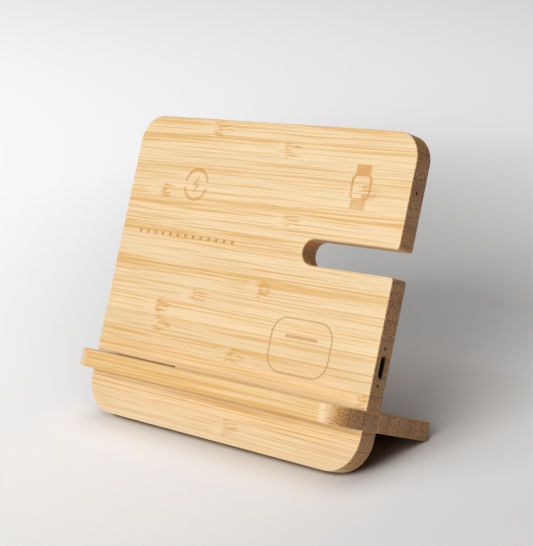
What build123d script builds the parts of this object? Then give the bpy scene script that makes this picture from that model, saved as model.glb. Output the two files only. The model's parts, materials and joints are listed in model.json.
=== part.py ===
from build123d import *
import math
import os

# A charging stand made of two bamboo boards that cross. The main board leans back and holds the
# coils and circuit boards in a pocket behind a cover. The support board slides onto it from the
# left: its front edge is the shelf, and its rear edge is the foot.
# Every piece is drawn in the main board's own flat frame, in millimetres: X runs to the right,
# Y runs up the board from its lower edge, and Z comes out of the front face, which is Z = 0.
# A depth is a distance behind that face. At the end all pieces are leaned back together.

# Main board
BOARD_WIDTH = 165.0
BOARD_HEIGHT = 140.0
BOARD_THICKNESS = 9.0
LOWER_CORNER_RADIUS = 16.0
UPPER_CORNER_RADIUS = 12.0
EDGE_ROUNDING = 0.6
OVERRUN = 2.0

# Support board: its underside is this far up the main board
SUPPORT_RISE = 19.0
SUPPORT_THICKNESS = 8.0
SHELF_DEPTH = 15.5
SHELF_CORNER_RADIUS = 13.0
FOOT_LENGTH = 34.5
FOOT_CORNER_RADIUS = 0.8

# Cross lap: each board is slotted, and this much of the support board fills the main board's slot
LAP_LENGTH = 53.0
LAP_GAP_ABOVE = 0.4
LAP_GAP_BELOW = 0.1
LAP_GAP_FACE = 0.35
LAP_GAP_END = 0.3
LAP_MOUTH_RADIUS = 1.2

# Strap notch, open at the right edge, with a full round inner end; its share is of the height above
# the shelf
NOTCH_WIDTH = 11.2
NOTCH_LENGTH = 50.5
NOTCH_SHARE = 0.525
NOTCH_MOUTH_RADIUS = 1.5

# Pocket behind the front wall, and the cover that closes it flush with the back
FRONT_WALL = 2.2
COVER_THICKNESS = 2.0
COVER_RIM = 3.0
COVER_GAP = 0.15
COVER_LEDGE = 2.0
COVER_CORNER_RADIUS = 2.0

# Cover screws, each in a boss that is left standing in the pocket
SCREW_INSET = 5.5
SCREW_BOSS_RADIUS = 4.0
SCREW_HEAD_RADIUS = 2.0
SCREW_HEAD_DEPTH = 1.2
SCREW_SHANK_RADIUS = 1.0
SCREW_LENGTH = 6.0
SCREW_CROSS_LENGTH = 2.2
SCREW_CROSS_WIDTH = 0.5
SCREW_CROSS_DEPTH = 0.8
SCREW_CLEARANCE = 0.05
LOWER_SCREW_INSET = 22.5

# Charging places on the front face: insets are from the right or upper edge, rises from the shelf,
# and the watch place is this far below the middle between the notch and the upper edge
PHONE_SHARE = 0.24
PHONE_INSET = 30.6
EARBUD_INSET = 41.3
EARBUD_RISE = 19.3
WATCH_INSET = 26.0
WATCH_DROP = 0.45

# Engraved marks: a ring with a bolt, a watch, a case outline and a row of dots
MARK_DEPTH = 0.15
RING_RADIUS = 7.6
RING_STROKE = 1.3
RING_GAP = 3.0
BOLT_HEIGHT = 8.0
BOLT_SHARES = ((0.16, 0.5), (-0.3, -0.06), (-0.02, -0.06), (-0.16, -0.5), (0.3, 0.06), (0.02, 0.06))
WATCH_MARK_WIDTH = 10.8
WATCH_MARK_HEIGHT = 11.3
WATCH_MARK_RADIUS = 2.8
WATCH_MARK_STROKE = 1.1
STRAP_MARK_WIDTH = 7.8
STRAP_MARK_LENGTH = 3.7
CASE_MARK_WIDTH = 34.4
CASE_MARK_HEIGHT = 23.8
CASE_MARK_RADIUS = 8.0
CASE_MARK_STROKE = 0.7
CASE_BAR_LENGTH = 18.0
CASE_BAR_WIDTH = 1.5
CASE_BAR_RISE = 4.0
DOT_RADIUS = 0.85
DOT_PITCH = 5.0
DOT_COUNT = 13
DOT_ROW_DROP = 23.8

# Coils: a pad sticks each winding to the front wall, and a shield lies behind it
PAD_THICKNESS = 0.3
COIL_THICKNESS = 1.2
SHIELD_THICKNESS = 1.2
SHIELD_MARGIN = 0.8
PHONE_COIL_RADIUS = 20.5
PHONE_COIL_BORE = 9.5
EARBUD_COIL_RADIUS = 12.4
EARBUD_COIL_BORE = 6.0
EARBUD_COIL_RISE = 0.6
WATCH_COIL_RADIUS = 11.6
WATCH_COIL_BORE = 7.4
MAGNET_RADIUS = 6.4
MAGNET_GAP = 0.3
FOAM_SHARE = 0.6

# Driver board, on three bosses, with its parts on the side that faces the cover; it holds one row
# of parts for each charging place, and their controller where the flat cable comes in
BOARD_BACK_DEPTH = 5.0
DRIVER_BOARD_THICKNESS = 1.2
DRIVER_BOARD_WIDTH = 22.0
DRIVER_BOARD_LENGTH = 54.0
DRIVER_BOARD_GAP = 1.6
BOSS_RADIUS = 2.4
BOSS_INSET = 2.4
PIN_SCREW_RADIUS = 0.75
PIN_SCREW_HEAD_RADIUS = 1.5
PIN_SCREW_HEAD_HEIGHT = 1.0
PIN_SCREW_LENGTH = 3.4
PIN_SCREW_CLEARANCE = 0.03
ROW_PITCH = 8.6
CHIP_WIDTH = 4.6
CHIP_THICKNESS = 0.9
INDUCTOR_WIDTH = 6.0
INDUCTOR_HEIGHT = 1.9
CAPACITOR_LENGTH = 3.2
CAPACITOR_WIDTH = 1.6
CAPACITOR_HEIGHT = 1.3
CAPACITOR_PITCH = 2.4
CAPACITOR_COUNT = 3
PART_SPACING = 1.2
CONTROL_CHIP_WIDTH = 7.0

# Power inlet on the right edge: shell, tongue and contacts on a small board of their own
INLET_RISE = 18.0
INLET_HOLE_LENGTH = 9.6
INLET_HOLE_WIDTH = 3.8
SHELL_LENGTH = 8.94
SHELL_WIDTH = 3.26
SHELL_REACH = 7.35
SHELL_WALL = 0.3
SHELL_RECESS = 0.8
SHELL_TAB_LENGTH = 1.2
SHELL_TAB_WIDTH = 1.4
TONGUE_LENGTH = 6.7
TONGUE_THICKNESS = 0.7
TONGUE_BASE_SHARE = 0.28
TONGUE_RECESS = 1.2
CONTACT_COUNT = 12
CONTACT_PITCH = 0.5
CONTACT_WIDTH = 0.25
CONTACT_LENGTH = 3.0
CONTACT_THICKNESS = 0.08
INLET_BOARD_THICKNESS = 0.8
INLET_BOARD_WIDTH = 12.5
INLET_BOARD_LENGTH = 18.4
INLET_BOARD_CORNER_RADIUS = 2.5
INLET_BOARD_GAP = 0.2
INLET_SCREW_INSET = 2.7

# Indicator lamps: pinholes in the right edge with a clear rod behind each
PINHOLE_RADIUS = 0.7
PINHOLE_DEPTH = 4.0
INLET_PINHOLE_OFFSET = 7.5
WATCH_PINHOLE_OFFSET = 0.3
ROD_CLEARANCE = 0.05
ROD_RECESS = 1.2
LAMP_LENGTH = 1.6
LAMP_WIDTH = 1.0
LAMP_HEIGHT = 0.7
LAMP_INSET = 0.4
LAMP_BOARD_WIDTH = 6.0
LAMP_BOARD_LENGTH = 9.0
LAMP_BOSS_RADIUS = 1.6
LAMP_BOSS_SHARE = 0.3
LAMP_WIRE_DROP = 3.5

# Wires and the flat cable inside the pocket; a landing is how far each reaches over a board
LEAD_RADIUS = 0.4
LEAD_SPACING = 1.4
LEAD_BEND_RADIUS = 1.6
LEAD_LANDING = 12.0
LEAD_OFFSET = 5.0
LEAD_CONTACT_GAP = 0.02
PHONE_LEAD_DROP = 6.0
WATCH_LEAD_DROP = 6.5
EARBUD_LEAD_RISE = 6.0
LAMP_WIRE_LANDING = 3.4
CABLE_WIDTH = 4.0
CABLE_THICKNESS = 0.3
CABLE_INSET = 24.5
CABLE_GAP = 1.2
CABLE_LANDING = 6.0

# Places that follow from the sizes above
HALF_WIDTH = BOARD_WIDTH / 2
SHELF_TOP = SUPPORT_RISE + SUPPORT_THICKNESS
LAP_LOW = SUPPORT_RISE - LAP_GAP_BELOW
LAP_HIGH = SHELF_TOP + LAP_GAP_ABOVE
LAP_END_X = LAP_LENGTH - HALF_WIDTH
NOTCH_END_X = HALF_WIDTH - NOTCH_LENGTH
NOTCH_Y = SHELF_TOP + NOTCH_SHARE * (BOARD_HEIGHT - SHELF_TOP)
PHONE_X = -PHONE_SHARE * BOARD_WIDTH
PHONE_Y = BOARD_HEIGHT - PHONE_INSET
EARBUD_X = HALF_WIDTH - EARBUD_INSET
EARBUD_Y = SHELF_TOP + EARBUD_RISE
WATCH_X = HALF_WIDTH - WATCH_INSET
WATCH_Y = (NOTCH_Y + NOTCH_WIDTH / 2 + BOARD_HEIGHT) / 2 - WATCH_DROP
INLET_Y = SHELF_TOP + INLET_RISE
WATCH_PINHOLE_Y = WATCH_Y + WATCH_PINHOLE_OFFSET
POCKET_FLOOR = BOARD_THICKNESS - COVER_THICKNESS
POCKET_EDGE_X = HALF_WIDTH - COVER_RIM - COVER_LEDGE
MID_DEPTH = BOARD_THICKNESS / 2
COIL_DEPTH = FRONT_WALL + PAD_THICKNESS
SHIELD_DEPTH = COIL_DEPTH + COIL_THICKNESS
SHIELD_BACK = SHIELD_DEPTH + SHIELD_THICKNESS
DRIVER_BOARD_FRONT = BOARD_BACK_DEPTH - DRIVER_BOARD_THICKNESS
INLET_BOARD_FRONT = BOARD_BACK_DEPTH - INLET_BOARD_THICKNESS
INLET_BOARD_RIGHT = POCKET_EDGE_X - INLET_BOARD_GAP
INLET_BOARD_LEFT = INLET_BOARD_RIGHT - INLET_BOARD_WIDTH
SHELL_FRONT_X = HALF_WIDTH - SHELL_RECESS
SHELL_REAR_X = SHELL_FRONT_X - SHELL_REACH
EARBUD_COIL_Y = EARBUD_Y + EARBUD_COIL_RISE
PHONE_SHIELD_RIGHT = PHONE_X + PHONE_COIL_RADIUS + SHIELD_MARGIN
DRIVER_BOARD_X = (PHONE_SHIELD_RIGHT + NOTCH_END_X - COVER_RIM - COVER_LEDGE) / 2
DRIVER_BOARD_RIGHT = DRIVER_BOARD_X + DRIVER_BOARD_WIDTH / 2
DRIVER_BOARD_LOW = LAP_HIGH + COVER_RIM + SCREW_INSET + SCREW_BOSS_RADIUS + DRIVER_BOARD_GAP
DRIVER_BOARD_HIGH = DRIVER_BOARD_LOW + DRIVER_BOARD_LENGTH
DRIVER_BOARD_Y = (DRIVER_BOARD_LOW + DRIVER_BOARD_HIGH) / 2
CABLE_X = HALF_WIDTH - CABLE_INSET
CABLE_Y = EARBUD_COIL_Y + FOAM_SHARE * EARBUD_COIL_RADIUS + CABLE_GAP + CABLE_WIDTH / 2
TILT = math.degrees(math.atan2(SUPPORT_RISE, FOOT_LENGTH))


def layer(outline, depth, thickness):
    """A flat layer of the outline, from this depth towards the back."""
    return extrude(Plane.XY.offset(-depth) * outline, amount=-thickness)


def bar(length, width, height, x, y, depth):
    """A box centred on x and y, from this depth towards the back."""
    return layer(Pos(x, y) * Rectangle(length, width), depth, height)


def disc(radius, x, y, depth, thickness, bore=0):
    """A round layer, with a hole through it where a bore is given."""
    outline = Circle(radius)
    if bore:
        outline -= Circle(bore)
    return layer(Pos(x, y) * outline, depth, thickness)


def rod(radius, length, x, y, depth):
    """A round rod along X, from x to the right, centred on this depth."""
    end = Plane(origin=(x, y, -depth), x_dir=(0, 1, 0), z_dir=(1, 0, 0))
    return extrude(end * Circle(radius), amount=length)


def group(pieces):
    """Separate solids that share one node."""
    return Compound([solid for piece in pieces for solid in piece.solids()])


# Outlines
def strap_notch(margin=0):
    """The notch's outline, grown by a margin where something keeps clear of it."""
    width = NOTCH_WIDTH + 2 * margin
    round_x = NOTCH_END_X + NOTCH_WIDTH / 2
    run = HALF_WIDTH + OVERRUN - round_x
    straight = Pos(round_x + run / 2, NOTCH_Y) * Rectangle(run, width)
    return straight + Pos(round_x, NOTCH_Y) * Circle(width / 2)


def lap_slot():
    """The main board's slot, open at the left edge."""
    run = OVERRUN + LAP_LENGTH + LAP_GAP_END
    centre_x = LAP_END_X + LAP_GAP_END - run / 2
    return Pos(centre_x, (LAP_LOW + LAP_HIGH) / 2) * Rectangle(run, LAP_HIGH - LAP_LOW)


def board_outline():
    outline = Pos(0, BOARD_HEIGHT / 2) * Rectangle(BOARD_WIDTH, BOARD_HEIGHT)
    outline = fillet(outline.vertices().sort_by(Axis.Y)[:2], LOWER_CORNER_RADIUS)
    outline = fillet(outline.vertices().sort_by(Axis.Y)[-2:], UPPER_CORNER_RADIUS)
    outline = outline - strap_notch() - lap_slot()
    corners = outline.vertices()
    lap_mouth = corners.sort_by_distance((-HALF_WIDTH, (LAP_LOW + LAP_HIGH) / 2))[:2]
    outline = fillet(lap_mouth, LAP_MOUTH_RADIUS)
    notch_mouth = outline.vertices().sort_by_distance((HALF_WIDTH, NOTCH_Y))[:2]
    return fillet(notch_mouth, NOTCH_MOUTH_RADIUS)


def cover_outline(rim):
    """The area above the lap slot, kept this far from every edge of the board and the notch."""
    low = LAP_HIGH + rim
    high = BOARD_HEIGHT - rim
    plate = RectangleRounded(BOARD_WIDTH - 2 * rim, high - low, UPPER_CORNER_RADIUS - rim)
    outline = Pos(0, (low + high) / 2) * plate - strap_notch(rim)
    corners = outline.vertices().group_by(Axis.X)[-1].sort_by(Axis.Y)
    notch_corners = [corner for corner in corners if abs(corner.Y - NOTCH_Y) < NOTCH_WIDTH]
    return fillet(notch_corners, COVER_CORNER_RADIUS)


def support_outline():
    """The support board from above: X to the right, Y from the front face towards the back."""
    front = -SHELF_DEPTH
    rear = BOARD_THICKNESS + FOOT_LENGTH
    outline = Pos(0, (front + rear) / 2) * Rectangle(BOARD_WIDTH, rear - front)
    outline = fillet(outline.vertices().sort_by(Axis.Y)[:2], SHELF_CORNER_RADIUS)
    outline = fillet(outline.vertices().sort_by(Axis.Y)[-2:], FOOT_CORNER_RADIUS)
    run = HALF_WIDTH + OVERRUN - LAP_END_X
    slot = Rectangle(run, BOARD_THICKNESS + 2 * LAP_GAP_FACE)
    return outline - Pos(LAP_END_X + run / 2, MID_DEPTH) * slot


# Engraved marks, as outlines on the front face
def ring_mark():
    ring = Circle(RING_RADIUS) - Circle(RING_RADIUS - RING_STROKE)
    ring -= Rectangle(3 * RING_RADIUS, RING_GAP)
    bolt = make_face(Polyline(*[(x * BOLT_HEIGHT, y * BOLT_HEIGHT) for x, y in BOLT_SHARES], close=True))
    return Pos(PHONE_X, PHONE_Y) * (ring + bolt)


def watch_mark():
    inner_width = WATCH_MARK_WIDTH - 2 * WATCH_MARK_STROKE
    inner_height = WATCH_MARK_HEIGHT - 2 * WATCH_MARK_STROKE
    inner_radius = WATCH_MARK_RADIUS - WATCH_MARK_STROKE
    body = RectangleRounded(WATCH_MARK_WIDTH, WATCH_MARK_HEIGHT, WATCH_MARK_RADIUS)
    strap_y = (WATCH_MARK_HEIGHT + STRAP_MARK_LENGTH) / 2
    straps = [Pos(0, side * strap_y) * Rectangle(STRAP_MARK_WIDTH, STRAP_MARK_LENGTH) for side in (-1, 1)]
    mark = body + straps[0] + straps[1] - RectangleRounded(inner_width, inner_height, inner_radius)
    return Pos(WATCH_X, WATCH_Y) * mark


def case_mark():
    inner_width = CASE_MARK_WIDTH - 2 * CASE_MARK_STROKE
    inner_height = CASE_MARK_HEIGHT - 2 * CASE_MARK_STROKE
    inner_radius = CASE_MARK_RADIUS - CASE_MARK_STROKE
    outline = RectangleRounded(CASE_MARK_WIDTH, CASE_MARK_HEIGHT, CASE_MARK_RADIUS)
    outline -= RectangleRounded(inner_width, inner_height, inner_radius)
    slit = Pos(0, CASE_BAR_RISE) * SlotOverall(CASE_BAR_LENGTH, CASE_BAR_WIDTH)
    return Pos(EARBUD_X, EARBUD_Y) * (outline + slit)


def dot_row_mark():
    first_x = PHONE_X - (DOT_COUNT - 1) * DOT_PITCH / 2
    row = Sketch()
    for i in range(DOT_COUNT):
        row += Pos(first_x + i * DOT_PITCH, PHONE_Y - DOT_ROW_DROP) * Circle(DOT_RADIUS)
    return row


# Places of the screws and bosses
def cover_screw_places():
    inset = COVER_RIM + SCREW_INSET
    side_x = HALF_WIDTH - inset
    low_y = LAP_HIGH + inset
    high_y = BOARD_HEIGHT - inset
    notch_reach = NOTCH_WIDTH / 2 + inset
    return [
        (-side_x, high_y), (0, high_y), (side_x, high_y),
        (side_x, NOTCH_Y + notch_reach), (side_x, NOTCH_Y - notch_reach),
        (HALF_WIDTH - LOWER_SCREW_INSET, low_y), (0, low_y), (-side_x, low_y), (-side_x, NOTCH_Y),
    ]


def driver_board_screw_places():
    """Both lower corners, and the middle of the upper end, where the coils' wires pass beside it."""
    reach = DRIVER_BOARD_WIDTH / 2 - BOSS_INSET
    low_y = DRIVER_BOARD_LOW + BOSS_INSET
    high_y = DRIVER_BOARD_HIGH - BOSS_INSET
    return [(DRIVER_BOARD_X - reach, low_y), (DRIVER_BOARD_X + reach, low_y), (DRIVER_BOARD_X, high_y)]


def inlet_board_screw_places():
    x = INLET_BOARD_LEFT + INLET_SCREW_INSET
    reach_y = INLET_BOARD_LENGTH / 2 - INLET_SCREW_INSET
    return [(x, INLET_Y - reach_y), (x, INLET_Y + reach_y)]


def pinhole_heights():
    return [INLET_Y - INLET_PINHOLE_OFFSET, INLET_Y + INLET_PINHOLE_OFFSET, WATCH_PINHOLE_Y]


def lamp_boss_x():
    return INLET_BOARD_RIGHT - LAMP_BOARD_WIDTH * (1 - LAMP_BOSS_SHARE)


# Main board, with its slots, pocket, bosses, holes and marks
def main_board():
    body = layer(board_outline(), 0, BOARD_THICKNESS)
    faces = body.faces().filter_by(Axis.Z)
    body = fillet([edge for face in faces for edge in face.outer_wire().edges()], EDGE_ROUNDING)

    rebate = layer(cover_outline(COVER_RIM), POCKET_FLOOR, COVER_THICKNESS + OVERRUN)
    pocket = layer(cover_outline(COVER_RIM + COVER_LEDGE), FRONT_WALL, BOARD_THICKNESS - FRONT_WALL)
    body = body - rebate - pocket
    for x, y in cover_screw_places():
        body += disc(SCREW_BOSS_RADIUS, x, y, FRONT_WALL, POCKET_FLOOR - FRONT_WALL)
    for x, y in driver_board_screw_places():
        body += disc(BOSS_RADIUS, x, y, FRONT_WALL, DRIVER_BOARD_FRONT - FRONT_WALL)
    for x, y in inlet_board_screw_places():
        body += disc(BOSS_RADIUS, x, y, FRONT_WALL, INLET_BOARD_FRONT - FRONT_WALL)
    lamp_boss_height = INLET_BOARD_FRONT - FRONT_WALL
    body += disc(LAMP_BOSS_RADIUS, lamp_boss_x(), WATCH_PINHOLE_Y, FRONT_WALL, lamp_boss_height)

    screw_tip = BOARD_THICKNESS - SCREW_LENGTH
    for x, y in cover_screw_places():
        radius = SCREW_SHANK_RADIUS + SCREW_CLEARANCE
        body -= disc(radius, x, y, screw_tip, SCREW_LENGTH)
    pin_tip = BOARD_BACK_DEPTH - PIN_SCREW_LENGTH
    for x, y in driver_board_screw_places() + inlet_board_screw_places():
        radius = PIN_SCREW_RADIUS + PIN_SCREW_CLEARANCE
        body -= disc(radius, x, y, pin_tip, PIN_SCREW_LENGTH)

    wall_x = POCKET_EDGE_X - OVERRUN
    wall = HALF_WIDTH + OVERRUN - wall_x
    mouth = Plane(origin=(wall_x, INLET_Y, -MID_DEPTH), x_dir=(0, 1, 0), z_dir=(1, 0, 0))
    body -= extrude(mouth * SlotOverall(INLET_HOLE_LENGTH, INLET_HOLE_WIDTH), amount=wall)
    for y in pinhole_heights():
        body -= rod(PINHOLE_RADIUS, wall, wall_x, y, PINHOLE_DEPTH)

    for mark in (ring_mark(), watch_mark(), case_mark(), dot_row_mark()):
        body -= layer(mark, -OVERRUN, OVERRUN + MARK_DEPTH)
    return body


# Support board: shelf in front, foot behind, slot open at the right
def support_board():
    from_above = Plane(origin=(0, SHELF_TOP, 0), x_dir=(1, 0, 0), z_dir=(0, 1, 0))
    board = extrude(from_above * support_outline(), amount=-SUPPORT_THICKNESS)
    faces = board.faces().filter_by(Axis.Y)
    flat_faces = [face for face in faces if face.outer_wire().length > BOARD_WIDTH]
    return fillet([edge for face in flat_faces for edge in face.outer_wire().edges()], EDGE_ROUNDING)


# Back cover and its countersunk screws
def countersink(x, y, clearance):
    """The tapered seat of a cover screw, wide at the back face."""
    seat = Plane.XY.offset(-BOARD_THICKNESS) * Pos(x, y) * Circle(SCREW_HEAD_RADIUS + clearance)
    neck_depth = BOARD_THICKNESS - SCREW_HEAD_DEPTH
    neck = Plane.XY.offset(-neck_depth) * Pos(x, y) * Circle(SCREW_SHANK_RADIUS + clearance)
    return loft([neck, seat])


def back_cover():
    plate = layer(cover_outline(COVER_RIM + COVER_GAP), POCKET_FLOOR, COVER_THICKNESS)
    for x, y in cover_screw_places():
        plate -= countersink(x, y, SCREW_CLEARANCE)
        plate -= disc(SCREW_SHANK_RADIUS + SCREW_CLEARANCE, x, y, POCKET_FLOOR, COVER_THICKNESS)
    return plate


def cover_screw(x, y):
    shank_depth = BOARD_THICKNESS - SCREW_LENGTH
    shank_length = SCREW_LENGTH - SCREW_HEAD_DEPTH
    screw = countersink(x, y, 0) + disc(SCREW_SHANK_RADIUS, x, y, shank_depth, shank_length)
    cross_depth = BOARD_THICKNESS - SCREW_CROSS_DEPTH
    cross = Rectangle(SCREW_CROSS_LENGTH, SCREW_CROSS_WIDTH)
    cross += Rectangle(SCREW_CROSS_WIDTH, SCREW_CROSS_LENGTH)
    return screw - layer(Pos(x, y) * cross, cross_depth, SCREW_CROSS_DEPTH)


# Coils, pads and shields
def coil_set(name, x, y, radius, bore, shield_bore):
    """The three layers of one charging place."""
    shield_radius = radius + SHIELD_MARGIN
    return {
        f"{name}_coil_pad": disc(radius, x, y, FRONT_WALL, PAD_THICKNESS),
        f"{name}_coil": disc(radius, x, y, COIL_DEPTH, COIL_THICKNESS, bore),
        f"{name}_coil_shield": disc(shield_radius, x, y, SHIELD_DEPTH, SHIELD_THICKNESS, shield_bore),
    }


def foam_pad(x, y, radius):
    return disc(radius * FOAM_SHARE, x, y, SHIELD_BACK, POCKET_FLOOR - SHIELD_BACK)


# Driver board and what is soldered to it
def driver_board():
    centre = Pos(DRIVER_BOARD_X, DRIVER_BOARD_Y)
    board = layer(centre * Rectangle(DRIVER_BOARD_WIDTH, DRIVER_BOARD_LENGTH), DRIVER_BOARD_FRONT,
                  DRIVER_BOARD_THICKNESS)
    return with_screw_holes(board, driver_board_screw_places(), DRIVER_BOARD_FRONT, DRIVER_BOARD_THICKNESS)


def with_screw_holes(board, places, depth, thickness):
    for x, y in places:
        board -= disc(PIN_SCREW_RADIUS + PIN_SCREW_CLEARANCE, x, y, depth, thickness)
    return board


def pin_screw(x, y):
    head = disc(PIN_SCREW_HEAD_RADIUS, x, y, BOARD_BACK_DEPTH, PIN_SCREW_HEAD_HEIGHT)
    return head + disc(PIN_SCREW_RADIUS, x, y, BOARD_BACK_DEPTH - PIN_SCREW_LENGTH, PIN_SCREW_LENGTH)


def channel_parts(y):
    """One charging channel: driver chip, inductor and capacitors, side by side."""
    inductor_x = DRIVER_BOARD_X
    chip_x = inductor_x - INDUCTOR_WIDTH / 2 - PART_SPACING - CHIP_WIDTH / 2
    capacitor_x = inductor_x + INDUCTOR_WIDTH / 2 + PART_SPACING + CAPACITOR_LENGTH / 2
    chip = bar(CHIP_WIDTH, CHIP_WIDTH, CHIP_THICKNESS, chip_x, y, BOARD_BACK_DEPTH)
    inductor = bar(INDUCTOR_WIDTH, INDUCTOR_WIDTH, INDUCTOR_HEIGHT, inductor_x, y, BOARD_BACK_DEPTH)
    first_y = y - (CAPACITOR_COUNT - 1) * CAPACITOR_PITCH / 2
    capacitors = [
        bar(CAPACITOR_LENGTH, CAPACITOR_WIDTH, CAPACITOR_HEIGHT, capacitor_x, first_y + i * CAPACITOR_PITCH,
            BOARD_BACK_DEPTH)
        for i in range(CAPACITOR_COUNT)
    ]
    return chip, inductor, capacitors


# Power inlet and its board
def inlet_board():
    x = INLET_BOARD_RIGHT - INLET_BOARD_WIDTH / 2
    outline = RectangleRounded(INLET_BOARD_WIDTH, INLET_BOARD_LENGTH, INLET_BOARD_CORNER_RADIUS)
    board = layer(Pos(x, INLET_Y) * outline, INLET_BOARD_FRONT, INLET_BOARD_THICKNESS)
    cut_length = HALF_WIDTH - SHELL_REAR_X + INLET_BOARD_GAP
    cut_x = HALF_WIDTH - cut_length / 2
    cut_width = SHELL_LENGTH + 2 * INLET_BOARD_GAP
    board -= bar(cut_length, cut_width, INLET_BOARD_THICKNESS, cut_x, INLET_Y, INLET_BOARD_FRONT)
    return with_screw_holes(board, inlet_board_screw_places(), INLET_BOARD_FRONT, INLET_BOARD_THICKNESS)


def inlet_plane(x):
    return Plane(origin=(x, INLET_Y, -MID_DEPTH), x_dir=(0, 1, 0), z_dir=(1, 0, 0))


def inlet_shell():
    tube = SlotOverall(SHELL_LENGTH, SHELL_WIDTH)
    tube -= SlotOverall(SHELL_LENGTH - 2 * SHELL_WALL, SHELL_WIDTH - 2 * SHELL_WALL)
    shell = extrude(inlet_plane(SHELL_REAR_X) * tube, amount=SHELL_REACH)
    tab_x = SHELL_REAR_X + SHELL_TAB_LENGTH
    tab_reach = SHELL_WALL + SHELL_TAB_WIDTH
    for side in (-1, 1):
        y = INLET_Y + side * (SHELL_LENGTH / 2 - SHELL_WALL + tab_reach / 2)
        shell += bar(SHELL_TAB_LENGTH, tab_reach, SHELL_WALL, tab_x, y, BOARD_BACK_DEPTH)
    return shell


def tongue_base_length():
    return SHELL_REACH * TONGUE_BASE_SHARE


def inlet_tongue():
    block = SlotOverall(SHELL_LENGTH - 2 * SHELL_WALL, SHELL_WIDTH - 2 * SHELL_WALL)
    base = extrude(inlet_plane(SHELL_REAR_X) * block, amount=tongue_base_length())
    plate = Rectangle(TONGUE_LENGTH, TONGUE_THICKNESS)
    return base + extrude(inlet_plane(SHELL_REAR_X) * plate, amount=SHELL_REACH - TONGUE_RECESS)


def inlet_contacts():
    start_x = SHELL_REAR_X + tongue_base_length()
    offset = (TONGUE_THICKNESS + CONTACT_THICKNESS) / 2
    first_y = -(CONTACT_COUNT - 1) * CONTACT_PITCH / 2
    end = Rectangle(CONTACT_WIDTH, CONTACT_THICKNESS)
    strips = []
    for side in (-1, 1):
        for i in range(CONTACT_COUNT):
            strip = Pos(first_y + i * CONTACT_PITCH, side * offset) * end
            strips.append(extrude(inlet_plane(start_x) * strip, amount=CONTACT_LENGTH))
    return strips


# Indicator lamps, their clear rods and the upper lamp's board
def lamp(y):
    x = INLET_BOARD_RIGHT - LAMP_INSET - LAMP_WIDTH / 2
    return bar(LAMP_WIDTH, LAMP_LENGTH, LAMP_HEIGHT, x, y, INLET_BOARD_FRONT - LAMP_HEIGHT)


def light_rod(y):
    return rod(PINHOLE_RADIUS - ROD_CLEARANCE, HALF_WIDTH - ROD_RECESS - POCKET_EDGE_X, POCKET_EDGE_X, y,
               PINHOLE_DEPTH)


def lamp_board():
    x = INLET_BOARD_RIGHT - LAMP_BOARD_WIDTH / 2
    return bar(LAMP_BOARD_WIDTH, LAMP_BOARD_LENGTH, INLET_BOARD_THICKNESS, x, WATCH_PINHOLE_Y,
               INLET_BOARD_FRONT)


# Wires and flat cable
def rim_x(coil_x, coil_y, coil_radius, y, side):
    """Where a wire at this height meets a winding's rim; side is 1 where it leaves to the right."""
    reach = math.sqrt(coil_radius ** 2 - (abs(y - coil_y) - LEAD_RADIUS) ** 2)
    return coil_x + side * (reach + LEAD_CONTACT_GAP)


def bent_wire(start_x, start_y, turn_x, end_y, depth):
    """One wire that runs level, then turns up or down the board."""
    path = FilletPolyline(
        (start_x, start_y, -depth), (turn_x, start_y, -depth), (turn_x, end_y, -depth),
        radius=LEAD_BEND_RADIUS,
    )
    end = Plane(origin=(start_x, start_y, -depth), z_dir=(math.copysign(1, turn_x - start_x), 0, 0))
    return sweep(end * Circle(LEAD_RADIUS), path=path)


def wires_over_board_end(start_x, y, turn_x, depth):
    """Two wires side by side that end over the driver board's upper end; start_x is a function of y."""
    end_y = DRIVER_BOARD_HIGH - LEAD_LANDING
    along = math.copysign(LEAD_SPACING / 2, turn_x - start_x(y))
    across = math.copysign(LEAD_SPACING / 2, end_y - y)
    return group([
        bent_wire(start_x(y - i * across), y - i * across, turn_x + i * along, end_y, depth)
        for i in (-1, 1)
    ])


def coil_leads(coil_x, coil_y, coil_radius, drop, side):
    """A winding's two wires, in front of the driver board where they reach it."""
    def start_x(y):
        return rim_x(coil_x, coil_y, coil_radius, y, side)

    turn_x = DRIVER_BOARD_X - side * LEAD_OFFSET
    return wires_over_board_end(start_x, coil_y - drop, turn_x, COIL_DEPTH + COIL_THICKNESS / 2)


def earbud_coil_leads():
    """These two run straight, since the earbud coil lies beside the driver board."""
    wires = []
    for i in (-1, 1):
        y = EARBUD_COIL_Y + EARBUD_LEAD_RISE + i * LEAD_SPACING / 2
        end_x = DRIVER_BOARD_RIGHT - LEAD_LANDING
        length = rim_x(EARBUD_X, EARBUD_COIL_Y, EARBUD_COIL_RADIUS, y, -1) - end_x
        wires.append(rod(LEAD_RADIUS, length, end_x, y, COIL_DEPTH + COIL_THICKNESS / 2))
    return group(wires)


def lamp_wires():
    """From the upper lamp's board, behind the watch coil, to the back of the driver board."""
    def start_x(y):
        return INLET_BOARD_RIGHT - LAMP_BOARD_WIDTH + LAMP_WIRE_LANDING

    y = WATCH_PINHOLE_Y - LAMP_WIRE_DROP
    depth = BOARD_BACK_DEPTH + LEAD_RADIUS + LEAD_CONTACT_GAP
    return wires_over_board_end(start_x, y, DRIVER_BOARD_X + LEAD_OFFSET, depth)


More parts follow.
